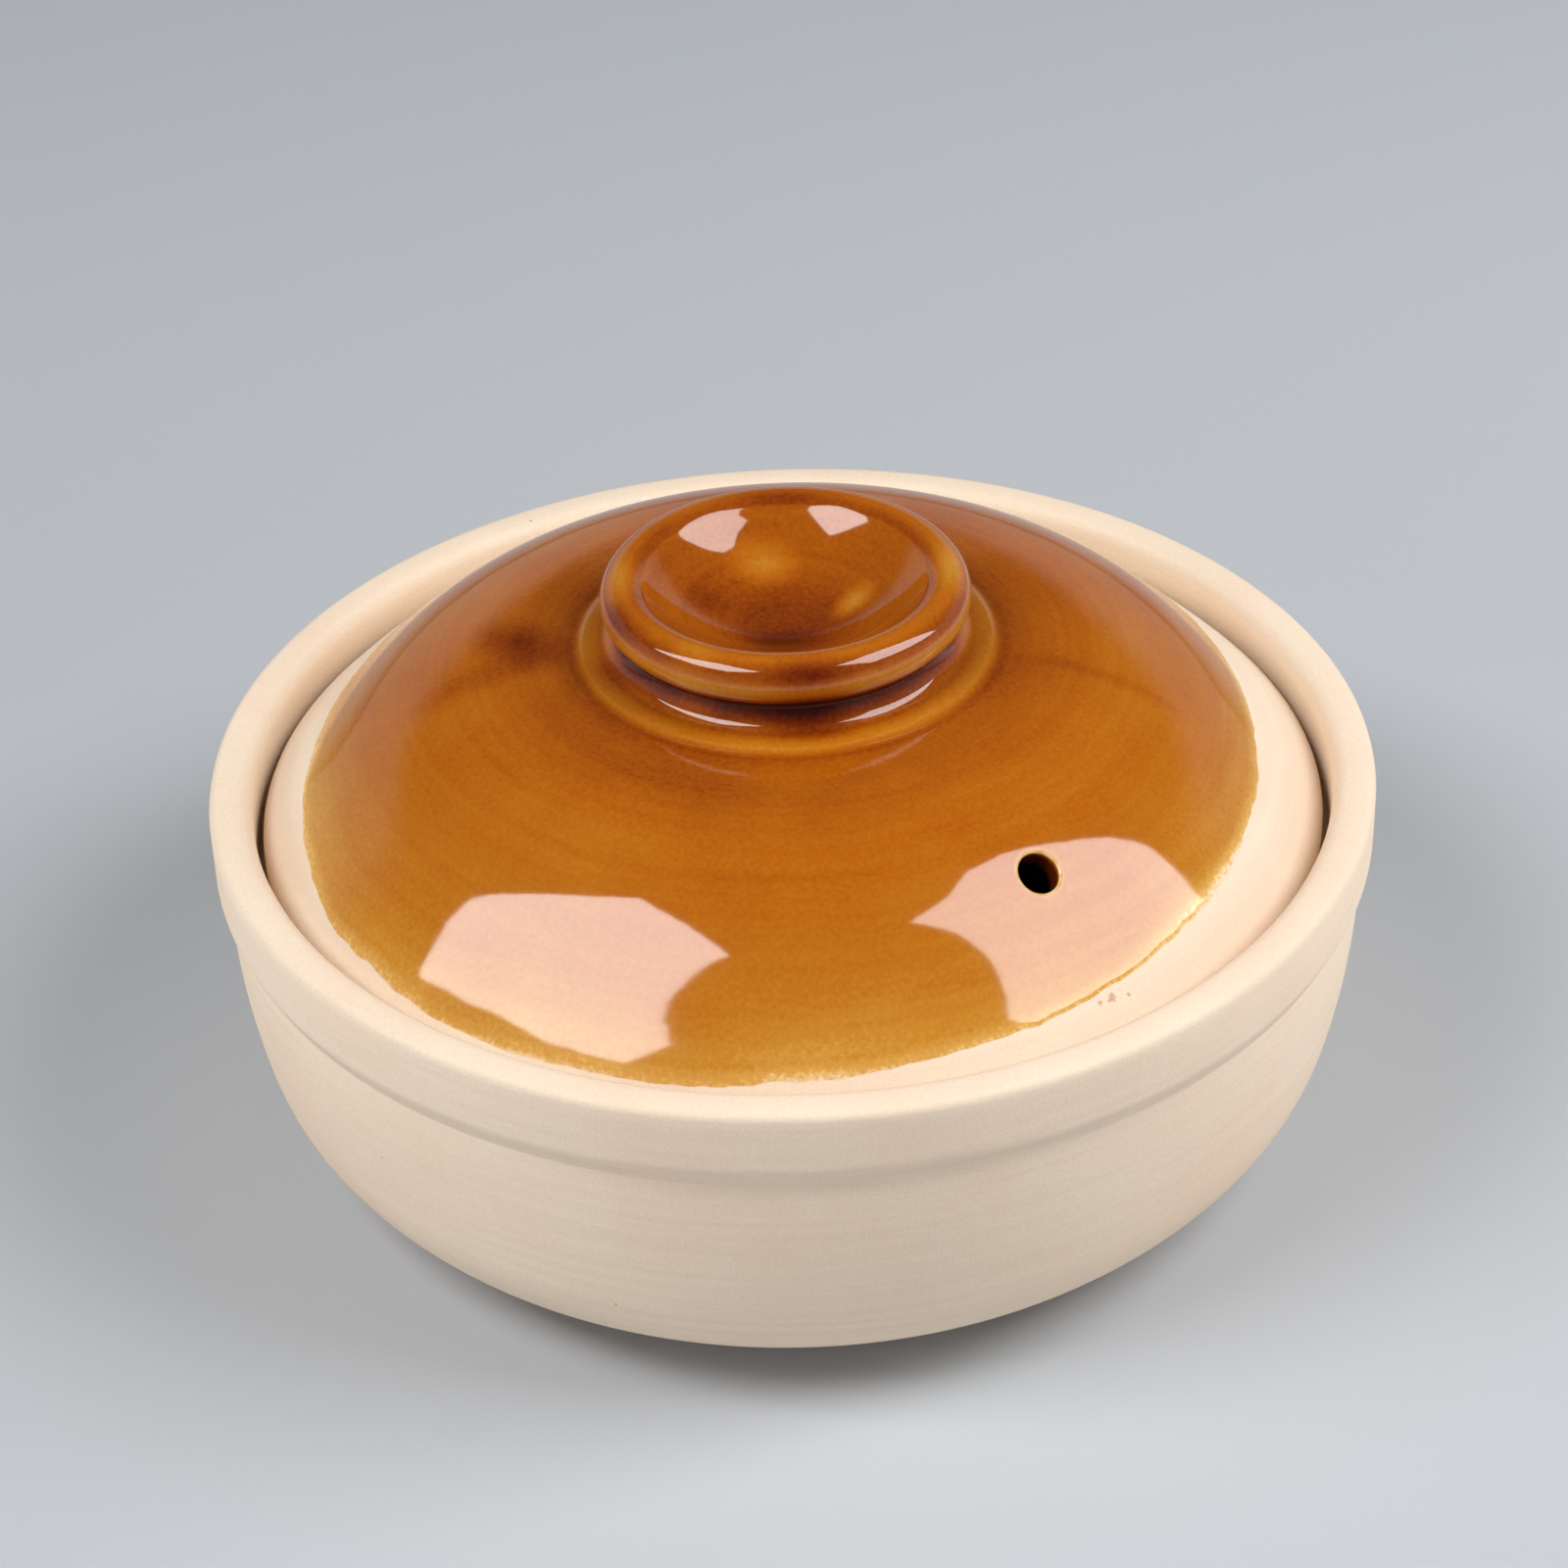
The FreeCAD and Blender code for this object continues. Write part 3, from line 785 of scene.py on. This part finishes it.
def amber_glaze():
    """Iron glaze whose colour follows its depth, with grain, rings, clouds and specks."""
    material, tree, shader, place = new_material("amber_iron_glaze")
    depth = add_node(tree, "ShaderNodeAttribute", attribute_name="glaze_depth_and_shade").outputs["Fac"]
    inside = add_node(tree, "ShaderNodeAttribute", attribute_name="from_edge").outputs["Fac"]
    bead = add_node(tree, "ShaderNodeMapRange", {"Value": inside, "From Min": 0.0,
                    "From Max": BEAD_WIDTH, "To Min": 0.24, "To Max": 0.85}).outputs[0]
    rim = add_node(tree, "ShaderNodeMapRange", {"Value": inside, "From Min": BEAD_WIDTH,
                   "From Max": THIN_WIDTH, "To Min": 0.0, "To Max": 0.15}).outputs[0]
    rim = add_node(tree, "ShaderNodeMath", {0: bead, 1: rim}).outputs[0]
    flat = add_node(tree, "ShaderNodeVectorMath", {0: place, 1: (1, 1, 0)}, operation="MULTIPLY")
    radius = add_node(tree, "ShaderNodeVectorMath", {0: flat.outputs[0]}, operation="LENGTH")
    sway = add_node(tree, "ShaderNodeVectorMath", {0: place, 1: (0.03, 0.03, 0)},
                    operation="MULTIPLY")
    upright = add_node(tree, "ShaderNodeCombineXYZ", {"Z": radius.outputs["Value"]})
    rings_at = add_node(tree, "ShaderNodeVectorMath", {0: sway.outputs[0], 1: upright.outputs[0]})
    rings = add_node(tree, "ShaderNodeTexNoise", {"Vector": rings_at.outputs[0],
                     "Scale": 1 / GLAZE_RING_PITCH, "Detail": 4.0,
                     "Roughness": 0.62}).outputs["Fac"]
    grain = add_node(tree, "ShaderNodeTexNoise", {"Vector": place, "Scale": 1 / GLAZE_GRAIN,
                     "Detail": 3.0, "Roughness": 0.6}).outputs["Fac"]
    clouds = add_node(tree, "ShaderNodeTexNoise", {"Vector": place, "Scale": 1 / GLAZE_CLOUD,
                      "Detail": 2.0}).outputs["Fac"]
    value = add_node(tree, "ShaderNodeMath", {0: depth, 1: rim}, operation="MULTIPLY").outputs[0]
    for pattern, amount in ((rings, RING_SHARE), (grain, GRAIN_SHARE), (clouds, CLOUD_SHARE)):
        shifted = add_node(tree, "ShaderNodeMath", {0: pattern, 1: 0.5}, operation="SUBTRACT")
        value = add_node(tree, "ShaderNodeMath", {0: shifted.outputs[0], 1: amount, 2: value},
                         operation="MULTIPLY_ADD").outputs[0]
    tone = ramp_node(tree, value, GLAZE_STOPS)
    dots = add_node(tree, "ShaderNodeTexVoronoi", {"Vector": place,
                    "Scale": 1 / GLAZE_SPECK_SPACING})
    small = add_node(tree, "ShaderNodeMapRange", {"Value": dots.outputs["Distance"],
                     "From Min": 0.030, "From Max": 0.050, "To Min": 1.0, "To Max": 0.0})
    apart = add_node(tree, "ShaderNodeSeparateColor", {"Color": dots.outputs["Color"]})
    chosen = add_node(tree, "ShaderNodeMath", {0: apart.outputs[0], 1: 0.85},
                      operation="GREATER_THAN")
    speck = add_node(tree, "ShaderNodeMath", {0: small.outputs[0], 1: chosen.outputs[0]},
                     operation="MULTIPLY")
    tone = add_node(tree, "ShaderNodeMix", {"Factor": speck.outputs[0], 6: tone,
                    7: colour("#4A1E08")}, data_type="RGBA").outputs[2]
    swell = add_node(tree, "ShaderNodeTexNoise", {"Vector": place, "Scale": 1 / GLAZE_SWELL,
                     "Detail": 2.0}).outputs["Fac"]
    bump = add_node(tree, "ShaderNodeBump", {"Height": swell, "Strength": 0.5,
                    "Distance": 0.05 * MM})
    tree.links.new(tone, shader.inputs["Base Color"])
    tree.links.new(bump.outputs[0], shader.inputs["Normal"])
    shader.inputs["Roughness"].default_value = 0.06
    shader.inputs["IOR"].default_value = 1.56
    return material


# %% Giving each piece its finish
clay = bisque_clay()
glaze = amber_glaze()
pot.data.materials.append(clay)
lid.data.materials.append(clay)
lid.data.materials.append(glaze)
print("materials", clay.name, glaze.name)

# %% [markdown]
# Two large softboxes light the pot from above, one at each side. Glaze is a mirror, so the shape
# of each lamp shows in it: their outlines are given by the directions in which the lid sees
# them, as (turn, height) in degrees, where a turn of 0 is to the camera's right and 90 is away
# from it. Each panel is flat and glows only on the side that faces the pot.

# %% Two softboxes
CAMERA_TURN = math.radians(-34.0)
SOFTBOX_DISTANCE = 1.12
LEFT_AIM, LEFT_RADIANCE = Vector((-0.045, -0.075, 0.085)), 8.35
LEFT_CORNERS = [(175.0, 31.0), (175.3, 35.4), (179.0, 43.5), (-176.3, 54.0), (-168.0, 67.5),
                (-135.6, 66.7), (-111.4, 60.1), (-122.0, 54.0), (-132.1, 46.5), (-151.4, 42.1),
                (-166.0, 39.2), (-172.5, 36.2), (-175.5, 34.8), (-179.6, 32.9), (177.0, 30.7)]
RIGHT_AIM, RIGHT_RADIANCE = Vector((0.040, -0.072, 0.085)), 7.1
RIGHT_CORNERS = [(-33.2, 38.8), (-35.6, 50.2), (-45.0, 64.4), (-20.0, 66.0), (3.3, 66.5),
                 (14.9, 61.3), (16.5, 54.6), (16.2, 40.3), (14.8, 28.5), (14.0, 19.8)]


def direction(turn, height):
    """A unit direction from angles in degrees, turned with the camera."""
    t, h = math.radians(turn) + CAMERA_TURN, math.radians(height)
    return Vector((math.cos(h) * math.cos(t), math.cos(h) * math.sin(t), math.sin(h)))


def glowing_cloth(name, radiance):
    """A cloth that glows on the front of its face and is black on the back."""
    cloth = bpy.data.materials.new(name)
    cloth.use_nodes = True
    tree = cloth.node_tree
    tree.nodes.clear()
    back = add_node(tree, "ShaderNodeNewGeometry").outputs["Backfacing"]
    power = add_node(tree, "ShaderNodeMapRange", {"Value": back, "To Min": radiance,
                     "To Max": 0.0}).outputs[0]
    glow = add_node(tree, "ShaderNodeEmission", {"Strength": power})
    add_node(tree, "ShaderNodeOutputMaterial", {"Surface": glow.outputs[0]})
    return cloth


def softbox(name, aim, corners, radiance):
    """A flat glowing panel whose corners lie in the given directions as seen from the aim."""
    panel = bmesh.new()
    middle = sum((direction(*corner) for corner in corners), Vector()).normalized()
    for corner in corners:
        toward = direction(*corner)
        panel.verts.new(aim + toward * (SOFTBOX_DISTANCE / toward.dot(middle)))
    face = bmesh.ops.contextual_create(panel, geom=panel.verts[:])["faces"][0]
    face.normal_update()
    if face.normal.dot(middle) > 0:
        face.normal_flip()
    data = bpy.data.meshes.new(name)
    panel.to_mesh(data)
    panel.free()
    data.materials.append(glowing_cloth(name + "_cloth", radiance))
    lamp = bpy.data.objects.new(name, data)
    bpy.context.collection.objects.link(lamp)
    print(name, "area", round(data.polygons[0].area, 2), "m2")


turned = Matrix.Rotation(CAMERA_TURN, 3, "Z")
softbox("softbox_left", turned @ LEFT_AIM, LEFT_CORNERS, LEFT_RADIANCE)
softbox("softbox_right", turned @ RIGHT_AIM, RIGHT_CORNERS, RIGHT_RADIANCE)

# %% [markdown]
# The air of the room fills the shadows. It is nearly dark in front and overhead, brighter behind,
# and a pale cool cloth hangs low at each side, so the wall of the pot is lit evenly. All of this
# low light is for the matt clay: in the glaze it would show as grey bands, so glossy rays see
# little of it. The camera sees a plain grey backdrop that gets lighter above the table's edge.

# %% The air of the room
AIR_FRONT, AIR_BEHIND, AIR_HIGH = 0.03, 0.35, 0.04
LOW_UP_TO, HIGH_FROM = 0.30, 0.42
SIDE_CLOTHS = [(206.0, (1.84, 1.90, 1.98)), (336.0, (1.46, 1.50, 1.58))]
SHARE_IN_GLOSS = 0.08
BACKDROP_STOPS = [(0.0, "#6A6D71"), (0.06, "#8C9195"), (0.16, "#B0B5BA"), (0.45, "#C6CBD0")]

world = bpy.data.worlds.new("studio_air")
bpy.context.scene.world = world
world.use_nodes = True
air = world.node_tree
sky = add_node(air, "ShaderNodeTexCoord").outputs["Generated"]
climb = add_node(air, "ShaderNodeSeparateXYZ", {"Vector": sky}).outputs["Z"]
low = add_node(air, "ShaderNodeMapRange", {"Value": climb, "From Min": LOW_UP_TO,
               "From Max": HIGH_FROM, "To Min": 1.0, "To Max": 0.0}).outputs[0]
behind = add_node(air, "ShaderNodeVectorMath", {0: sky, 1: direction(90, 0)},
                  operation="DOT_PRODUCT").outputs["Value"]
amount = add_node(air, "ShaderNodeMapRange", {"Value": behind, "From Min": -0.5, "From Max": 0.5,
                  "To Min": AIR_FRONT, "To Max": AIR_BEHIND}).outputs[0]
amount = add_node(air, "ShaderNodeMath", {0: low, 1: amount, 2: AIR_HIGH},
                  operation="MULTIPLY_ADD").outputs[0]
seen_in_gloss = add_node(air, "ShaderNodeLightPath").outputs["Is Glossy Ray"]
matt_only = add_node(air, "ShaderNodeMapRange", {"Value": seen_in_gloss, "To Min": 1.0,
                     "To Max": SHARE_IN_GLOSS}).outputs[0]
low = add_node(air, "ShaderNodeMath", {0: low, 1: matt_only}, operation="MULTIPLY").outputs[0]
light = add_node(air, "ShaderNodeVectorMath", {0: (1, 1, 1), "Scale": amount},
                 operation="SCALE").outputs["Vector"]
for turn, tint in SIDE_CLOTHS:
    facing = add_node(air, "ShaderNodeVectorMath", {0: sky, 1: direction(turn, 0)},
                      operation="DOT_PRODUCT").outputs["Value"]
    cloth = add_node(air, "ShaderNodeMapRange", {"Value": facing, "From Min": 0.74,
                     "From Max": 0.90}).outputs[0]
    cloth = add_node(air, "ShaderNodeMath", {0: cloth, 1: low}, operation="MULTIPLY").outputs[0]
    cloth = add_node(air, "ShaderNodeVectorMath", {0: tint, "Scale": cloth},
                     operation="SCALE").outputs["Vector"]
    light = add_node(air, "ShaderNodeVectorMath", {0: light, 1: cloth}).outputs["Vector"]
seen_plain = add_node(air, "ShaderNodeLightPath").outputs["Is Camera Ray"]
backdrop = ramp_node(air, climb, BACKDROP_STOPS)
light = add_node(air, "ShaderNodeMix", {"Factor": seen_plain, 6: light, 7: backdrop},
                 data_type="RGBA").outputs[2]
air.links.new(light, air.nodes["Background"].inputs["Color"])
print("air", world.name, len(air.nodes), "nodes")

# %% [markdown]
# The table is a wide board painted matt pale grey. Away from the camera its colour is made a
# little lighter, where less light reaches it: this is painted light, standing in for the light
# that lights the ground behind the pot apart in a studio.

# %% The table
TABLE_RADIUS = 4.0
PAINTED_LIGHT_FROM, PAINTED_LIGHT_TO = 0.15, 1.1

table_mesh = bmesh.new()
bmesh.ops.create_circle(table_mesh, cap_ends=True, segments=96, radius=TABLE_RADIUS)
table_data = bpy.data.meshes.new("table")
table_mesh.to_mesh(table_data)
table_mesh.free()
table = bpy.data.objects.new("table", table_data)
bpy.context.collection.objects.link(table)


def table_with_painted_light():
    """Painted matt grey, with painted light that makes it lighter away from the camera."""
    material, tree, shader, place = new_material("board_with_painted_light")
    # Painted light: the colour gets lighter away from the camera.
    away = add_node(tree, "ShaderNodeVectorMath", {0: place, 1: direction(90, 0)},
                    operation="DOT_PRODUCT").outputs["Value"]
    painted_far_light = add_node(tree, "ShaderNodeMapRange", {"Value": away, "From Min": PAINTED_LIGHT_FROM,
                     "From Max": PAINTED_LIGHT_TO}).outputs[0]
    tone = ramp_node(tree, painted_far_light, [(0.0, "#BFC3C8"), (1.0, "#EBF1F7")])
    tree.links.new(tone, shader.inputs["Base Color"])
    shader.inputs["Roughness"].default_value = 0.6
    shader.inputs["Specular IOR Level"].default_value = 0.2
    return material


table_data.materials.append(table_with_painted_light())
print("table", TABLE_RADIUS, "m in radius")
bpy.context.scene.view_settings.view_transform = "Standard"

# %% [markdown]
# The camera stands in front and above and looks down at 34 degrees, with a long lens, so the
# pot hardly tapers away. It leans by about two degrees. Its place is given from the middle of
# the pot's mouth in millimetres, and then turned round the pot.

# %% Camera
CAMERA_PITCH = 0.5938
CAMERA_ROLL = -0.03309
CAMERA_PLACE = Vector((-1.4, -619.4, 410.9 + BODY_HEIGHT)) * MM
LENS_LENGTH, SENSOR_WIDTH = 90, 36

ahead = Vector((0, math.cos(CAMERA_PITCH), -math.sin(CAMERA_PITCH)))
right = Vector((1, 0, 0))
up = right.cross(ahead)
right_rolled = right * math.cos(CAMERA_ROLL) + up * math.sin(CAMERA_ROLL)
up_rolled = -right * math.sin(CAMERA_ROLL) + up * math.cos(CAMERA_ROLL)
lens = bpy.data.cameras.new("camera")
lens.lens = LENS_LENGTH
lens.sensor_width = SENSOR_WIDTH
lens.clip_start = 0.01
camera = bpy.data.objects.new("camera", lens)
axes = [turned @ axis for axis in (right_rolled, up_rolled, -ahead)]
camera.matrix_world = Matrix(axes).transposed().to_4x4()
camera.location = turned @ CAMERA_PLACE
bpy.context.collection.objects.link(camera)
bpy.context.scene.camera = camera
print("camera", [round(v, 3) for v in camera.location])
